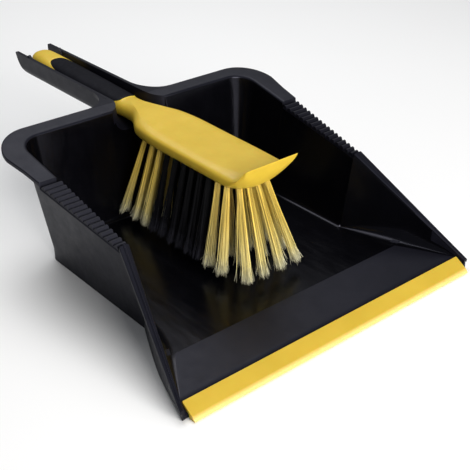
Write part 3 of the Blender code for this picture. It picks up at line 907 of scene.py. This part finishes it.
def head_stations():
    """Nose, head and neck: top depth and height, bottom depth and height, half
    width, the flat's half width, squareness of top and bottom, widest level."""
    low = HEAD_BOTTOM
    return [(0.0830, 0.1125, 0.0836, 0.1106, 0.0243, 0.0232, 6.0, 3.4, 0.86),
            (0.0834, 0.1124, 0.0852, 0.1072, 0.0249, 0.0234, 7.0, 3.4, 0.86),
            (0.0842, 0.1119, 0.0873, 0.1022, 0.0253, 0.0236, 7.0, 3.2, 0.86),
            (0.0856, 0.1108, 0.0903, 0.0968, 0.0256, 0.0232, 6.5, 2.8, 0.84),
            (0.0876, 0.1084, 0.0940, 0.0918, 0.0260, 0.0212, 4.6, 2.4, 0.80),
            (0.0902, 0.1052, 0.0985, 0.0880, 0.0262, 0.0170, 2.8, 2.2, 0.72),
            (0.0945, 0.1029, 0.1040, 0.0860, 0.0264, 0.0146, 2.5, 2.3, 0.66),
            (0.1005, 0.1020, 0.1100, low, 0.0267, 0.0150, 2.7, 2.4, 0.64),
            (0.1120, 0.1018, 0.1180, low, 0.0270, 0.0172, 3.0, 2.4, 0.64),
            (0.1350, 0.1018, 0.1350, low, 0.0271, 0.0190, 3.4, 2.4, 0.66),
            (0.1650, 0.1022, 0.1650, low, 0.0271, 0.0190, 3.4, 2.4, 0.66),
            (0.1980, 0.1030, 0.1980, low, 0.0270, 0.0188, 3.3, 2.4, 0.66),
            (0.2130, 0.1038, 0.2130, low, 0.0258, 0.0178, 3.0, 2.4, 0.64),
            (0.2220, 0.1043, 0.2220, low, 0.0246, 0.0166, 2.8, 2.4, 0.60),
            (0.2280, 0.1047, 0.2280, 0.0860, 0.0226, 0.0150, 2.6, 2.4, 0.58),
            (0.2370, 0.1052, 0.2370, 0.0872, 0.0172, 0.0118, 2.4, 2.3, 0.55),
            (0.2440, 0.1055, 0.2440, 0.0886, 0.0137, 0.0090, 2.3, 2.3, 0.50),
            (0.2510, 0.1057, 0.2510, 0.0893, 0.0120, 0.0066, 2.2, 2.3, 0.50),
            (0.2600, 0.1058, 0.2615, 0.0895, 0.0115, 0.0036, 2.2, 2.3, 0.50)]


def grip_front(t):
    """The sleeve's front edge reaches forwards on top of the handle."""
    return -GRIP_FRONT_REACH * smooth((t - 0.62) / 0.34)


def grip_back(t):
    """Its back edge ends in a point on top and recedes down both sides."""
    return mix(GRIP_BACK_SIDE, GRIP_BACK_TOP, smooth((t - 0.55) / 0.48))


def neck_rings():
    """Behind the head the sections bend to meet the sleeve's curved edge."""
    rings = []
    for d, half, rise, flat, share in ((0.2720, 0.0118, 0.0080, 0.0020, 0.3),
                                       (0.2800, 0.0122, 0.0081, 0.0012, 0.6),
                                       (0.2860, 0.0129, 0.0083, 0.0006, 0.9)):
        rings.append(brush_ring(handle_station(d, half, rise, flat),
                                lambda x, t, s=share: s * grip_front(t)))
    return rings


def grip_rings(inset, share_low=0.0, share_high=1.0, steps=16):
    """Sections of the handle between the sleeve's two curved edges."""
    rings = []
    for i in range(steps + 1):
        s = mix(share_low, share_high, i / steps)
        d = mix(GRIP_D0, GRIP_D1, s)
        belly = BELLY * math.sin(math.pi * s)
        station = handle_station(d, HANDLE_HALF - inset - BELLY + belly,
                                 HANDLE_RISE - inset - BELLY / 2 + 0.5 * belly)
        rings.append(brush_ring(station, lambda x, t, s=s: mix(grip_front(t), grip_back(t), s)))
    return rings


def end_rings():
    """The handle behind the sleeve and its round end."""
    rings = []
    for d, half, rise, share in ((0.3875, 0.0131, 0.0085, 0.85), (0.3930, 0.0130, 0.0087, 0.5),
                                 (0.3990, 0.0128, 0.0089, 0.2), (0.4050, 0.0123, 0.0090, 0.0)):
        rings.append(brush_ring(handle_station(d, half, rise),
                                lambda x, t, s=share: s * grip_back(t)))
    steps = 12
    for i in range(1, steps + 1):
        a = math.radians(88 * i / steps)
        d = HANDLE_END_D - DOME * (1 - math.sin(a))
        rings.append(brush_ring(handle_station(d, DOME_HALF * math.cos(a),
                                               DOME_RISE * math.cos(a))))
    return rings


def nose_sweep(station):
    """Below the lip the nose's two sides turn back into the head's sides."""
    bottom_d, half = station[2], station[4]
    fade_in = smooth((bottom_d - 0.083) / 0.020)
    fade_out = smooth((0.122 - bottom_d) / 0.018)
    share = NOSE_SWEEP * fade_out * fade_in
    return lambda x, t: share * abs(x / half) ** 2.5 * (1 - t)


def make_brush_body():
    rings = [brush_ring(station, nose_sweep(station)) for station in through(head_stations(), 5)]
    rings += neck_rings()
    shoulders = grip_rings(0.0)
    rings += [shoulders[0], *grip_rings(SLEEVE), shoulders[-1]]
    rings += end_rings()
    brush = ring_loft("brush_moulding", rings, sharp=24.0)
    brush.data.materials.append(brush_yellow())
    level_normals(brush)
    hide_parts("brush_body")
    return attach(brush, "brush")


def make_grip():
    """A closed sleeve: out along the outside and back along the inside."""
    rim = 0.004
    ends = grip_rings(SLEEVE_ROUND, rim, 1 - rim, 1)
    outside = [ends[0], *grip_rings(-SLEEVE_PROUD, 2 * rim, 1 - 2 * rim, 28), ends[-1]]
    inside = grip_rings(SLEEVE - SLEEVE_CLEAR, rim, 1 - rim, 8)
    grip = ring_loft("grip_soft_sleeve", outside + inside[::-1], closed=True, sharp=40.0)
    grip.data.materials.append(grip_black())
    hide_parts("grip_sleeve")
    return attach(grip, "brush")


# ------------------------------------------------------------ the bristles ---
def tuft_ends(row, column):
    """Where a tuft leaves the head, and where the middle of its tips is."""
    d = mix(TUFT_D0, TUFT_D1, row / (TUFT_ROWS - 1))
    x = (column - (TUFT_COLUMNS - 1) / 2) * TUFT_PITCH_X
    if row == 0:
        x *= FRONT_ROW_PINCH
    lean = LEAN_BACK * math.exp((d - TUFT_D1) / LEAN_FADE)
    lean -= LEAN_FRONT * math.exp((TUFT_D0 - d) / LEAN_FADE)
    return at(x, d, HEAD_BOTTOM + TUFT_SINK), at(x * TUFT_FAN_X, d + lean, TUFT_TIP_Z)


def tube(bm, path, radii, sides, shade, alongs, layer):
    """A thin closed filament along a path; alongs gives each point's share of its length."""
    axis = (path[-1] - path[0]).normalized()
    across = axis.cross(Vector((0, 1, 0.3))).normalized()
    other = axis.cross(across)
    rings = []
    for p, r in zip(path, radii):
        ring = []
        for i in range(sides):
            a = 2 * math.pi * i / sides
            ring.append(p + across * (r * math.cos(a)) + other * (r * math.sin(a)))
        rings.append(ring)
    rows = loft(bm, rings)
    for row, along in zip(rows, alongs):
        for vert in row:
            vert[layer] = (shade, along, 0.0, 1.0)


def jitter(rng, x, y, z):
    """A small random step, spread by its own amount along each axis."""
    return Vector((rng.gauss(0, x), rng.gauss(0, y), rng.gauss(0, z)))


def add_filament(bm, layer, rng, top, tip):
    """One filament that bows a little and splits into finer ends."""
    turn = rng.uniform(0, 2 * math.pi)
    spread = math.sqrt(rng.random())
    offset = Vector((math.cos(turn), math.sin(turn), 0)) * spread
    start = top + offset * TUFT_R_TOP
    end = tip + offset * TUFT_R_TIP
    end += jitter(rng, WAVER, WAVER, WAVER_Z)
    if rng.random() < STRAY_SHARE:
        end += Vector((rng.gauss(0, STRAY), rng.gauss(0, STRAY), STRAY_RISE))
    bow = Vector((rng.gauss(0, BOW), rng.gauss(0, BOW), 0)) - offset * BOW
    split_at = rng.uniform(SPLIT_FROM, SPLIT_TO)
    alongs = [0.0, 0.3, 0.6, split_at]
    path = [mix(start, end, t) + bow * (4 * t * (1 - t)) for t in alongs]
    shade = rng.random()
    radius = FILAMENT_R * rng.uniform(0.85, 1.15)
    tube(bm, path, [radius, radius, radius, radius * 0.8], 4, shade, alongs, layer)
    for _ in range(SPLITS):
        fray = jitter(rng, FRAY, FRAY, FRAY)
        tube(bm, [path[-1], mix(path[-1], end, 0.5) + fray * 0.4, end + fray],
             [SPLIT_R * 1.3, SPLIT_R, SPLIT_R * 0.6], 3, shade,
             [split_at, 0.5 + 0.5 * split_at, 1.0], layer)


def make_tuft(row, column, surface):
    """A bundle of filaments, drawn from a seed of its own."""
    rng = random.Random(101 * row + column)
    top, tip = tuft_ends(row, column)
    bm = bmesh.new()
    layer = bm.verts.layers.float_color.new("filament")
    for _ in range(FILAMENTS):
        add_filament(bm, layer, rng, top, tip)
    tuft = mesh_piece(f"bristles_{row + 1:02d}_{column + 1}", bm, sharp=70.0)
    tuft.data.materials.append(surface)
    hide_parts(f"tuft_{row + 1:02d}_{column + 1}")
    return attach(tuft, "brush")


def make_tufts():
    """Three yellow rows at each end and black ones between."""
    yellow = filament_material("bristle_yellow", (0.84, 0.60, 0.09), (0.90, 0.68, 0.14),
                               (0.94, 0.80, 0.30), (0.97, 0.93, 0.66), 0.34, 0.55)
    black = filament_material("bristle_black", (0.0015, 0.0015, 0.0025), (0.002, 0.002, 0.0035),
                              (0.006, 0.006, 0.009), (0.050, 0.050, 0.065), 0.50, 0.12)
    for row in range(TUFT_ROWS):
        is_yellow = row < YELLOW_ROWS or row >= TUFT_ROWS - YELLOW_ROWS
        for column in range(TUFT_COLUMNS):
            make_tuft(row, column, yellow if is_yellow else black)


# ------------------------------------------------------------- the studio ---
def make_floor():
    """A wide pale floor, a hair below the object's feet."""
    bm = bmesh.new()
    bmesh.ops.create_grid(bm, x_segments=2, y_segments=2, size=4.0)
    floor = mesh_piece("studio_floor", bm)
    floor.location.z = -2 * HAIR
    made, tree, shader = shader_material("studio_white", Roughness=0.7)
    colour = ramp(tree, noise(tree, 3.0), (0.0, (0.95, 0.95, 0.95)), (1.0, (0.97, 0.97, 0.97)))
    tree.links.new(colour, shader.inputs["Base Color"])
    floor.data.materials.append(made)


def make_light(name, place_at, aim, size, power, colour=(1, 1, 1)):
    """A rectangular soft light that faces aim."""
    data = bpy.data.lights.new(name, "AREA")
    data.shape = "RECTANGLE"
    data.size, data.size_y = size
    data.energy = power
    data.color = colour
    light = bpy.data.objects.new(name, data)
    bpy.context.scene.collection.objects.link(light)
    light.location = place_at
    light.rotation_euler = (Vector(aim) - Vector(place_at)).to_track_quat("-Z", "Y").to_euler()


def make_studio():
    """Pale surroundings, a large light above the back and a lower one in front."""
    world = bpy.data.worlds.new("studio")
    bpy.context.scene.world = world
    world.use_nodes = True
    sky = world.node_tree.nodes["Background"]
    sky.inputs["Color"].default_value = (0.93, 0.96, 1.0, 1.0)
    sky.inputs["Strength"].default_value = 0.20
    make_light("back_box", (0.28, 0.50, 1.35), (0, 0, 0.05), (1.1, 1.1), 14.5)
    make_light("front_box", (-0.10, -1.45, 0.55), (0, 0, 0.05), (1.0, 0.7), 25.0,
               (1.0, 0.98, 0.95))
    bpy.context.scene.view_settings.view_transform = "Standard"


def make_camera():
    data = bpy.data.cameras.new("camera")
    data.sensor_width = 36.0
    data.lens = 72.8
    data.clip_start, data.clip_end = 0.01, 50.0
    camera = bpy.data.objects.new("camera", data)
    bpy.context.scene.collection.objects.link(camera)
    camera.location = (-0.4233, -0.5907, 0.4131)
    azimuth, elevation = -40.14, 30.11
    camera.rotation_euler = (math.radians(90 - elevation), 0, math.radians(azimuth))
    bpy.context.scene.camera = camera


make_camera()
make_pan()
make_lip()
make_brush_body()
make_grip()
make_tufts()
make_floor()
make_studio()

bpy.context.view_layer.update()
